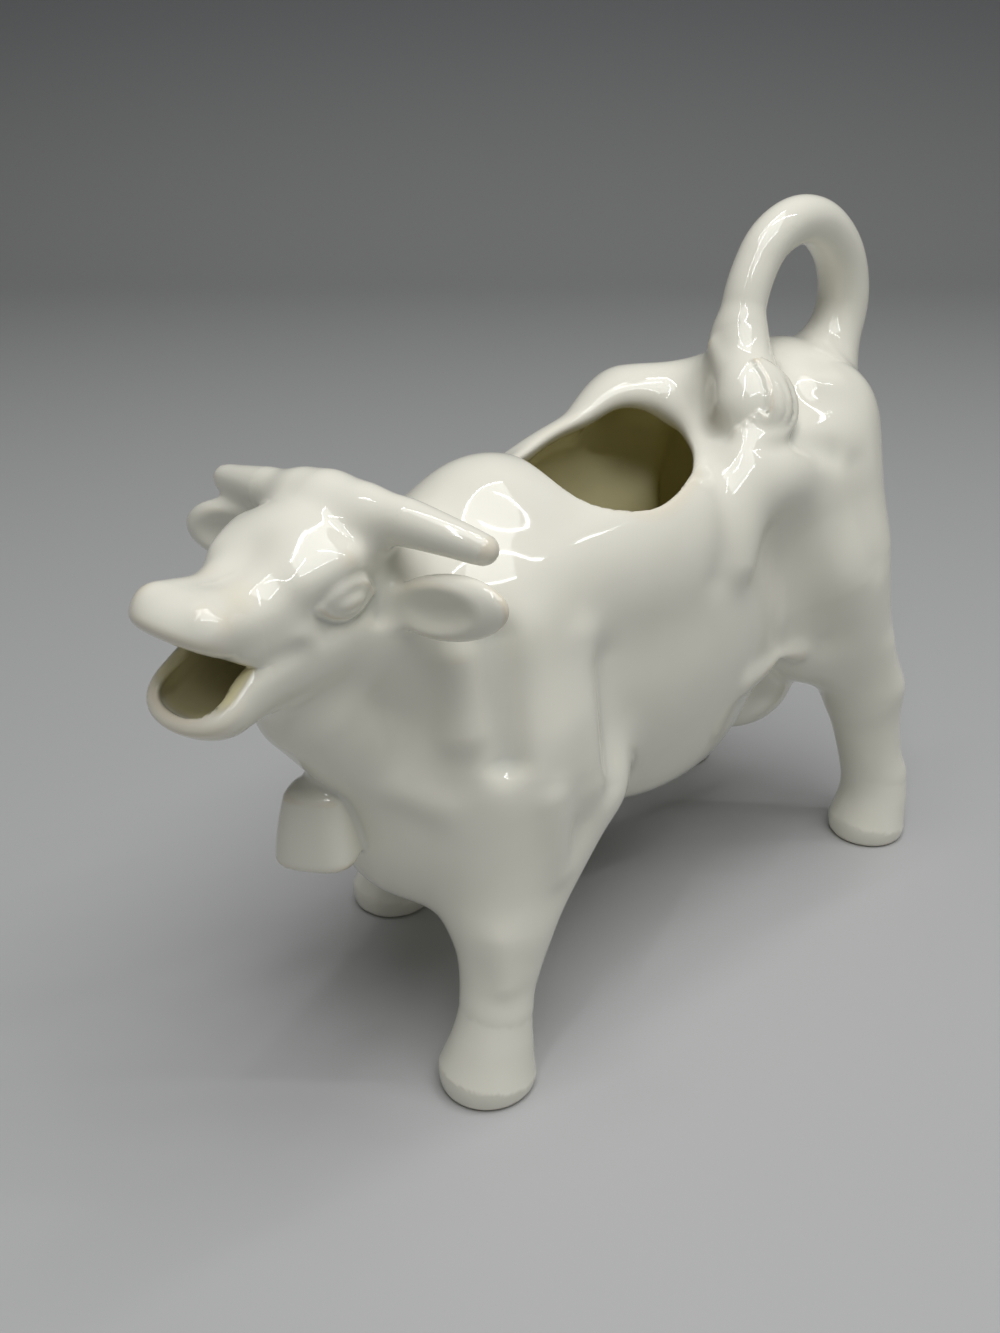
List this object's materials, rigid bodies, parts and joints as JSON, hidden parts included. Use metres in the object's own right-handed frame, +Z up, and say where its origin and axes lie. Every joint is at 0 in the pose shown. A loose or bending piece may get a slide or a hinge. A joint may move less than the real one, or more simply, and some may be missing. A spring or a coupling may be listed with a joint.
{
  "type": "cow creamer",
  "caption": "White glazed porcelain milk jug shaped as a standing cow, filled through the back, poured from the open mouth, held by the looped tail.",
  "frame": {"origin": "on the table, under the middle of the whole jug's box", "axes": "+X towards the nose, +Y towards the cow's left side, +Z up"},
  "size_m": [0.1479, 0.0633, 0.1191],
  "materials": {
    "glazed_porcelain": "white porcelain under a clear gloss glaze"
  },
  "bodies": {
    "root": {"body_shell": "glazed_porcelain", "head_spout": "glazed_porcelain", "horn_left": "glazed_porcelain", "horn_right": "glazed_porcelain", "ear_left": "glazed_porcelain", "ear_right": "glazed_porcelain", "bell": "glazed_porcelain", "leg_front_left": "glazed_porcelain", "leg_front_right": "glazed_porcelain", "leg_rear_left": "glazed_porcelain", "leg_rear_right": "glazed_porcelain", "udder": "glazed_porcelain", "tail_handle": "glazed_porcelain", "tail_tuft": "glazed_porcelain"}
  },
  "joints": []
}
